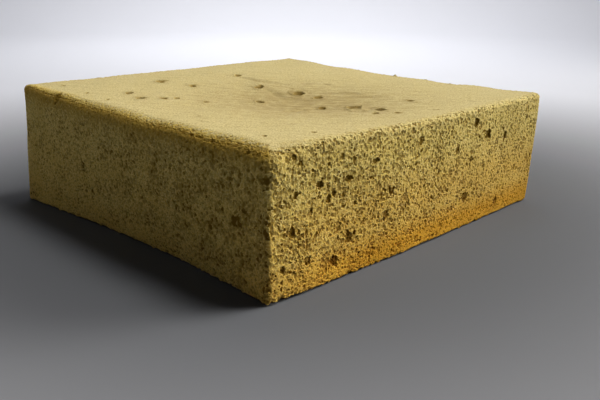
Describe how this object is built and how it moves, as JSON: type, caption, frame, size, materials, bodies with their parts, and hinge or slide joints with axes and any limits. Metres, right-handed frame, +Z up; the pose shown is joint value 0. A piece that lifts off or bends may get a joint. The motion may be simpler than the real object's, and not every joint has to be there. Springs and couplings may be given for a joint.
{
  "type": "sponge cake",
  "caption": "Square slab of plain sponge cake, trimmed of its crust, with open-crumb walls and a slightly sunken, pitted top. It rests on its flat base, ready to be filled or iced.",
  "frame": {"origin": "centre of the bounding box, on the flat base", "axes": "+Z up from the base, +X along the wider pair of walls; the wall at -Y and the wall at -X are the two that the picture shows, and meet at its near corner"},
  "size_m": [0.2044, 0.1978, 0.0639],
  "materials": {
    "crumb": "dry open sponge crumb, fully matt, paler and smoother on the peeled top"
  },
  "bodies": {
    "root": {"sponge_cake": "crumb"}
  },
  "joints": []
}
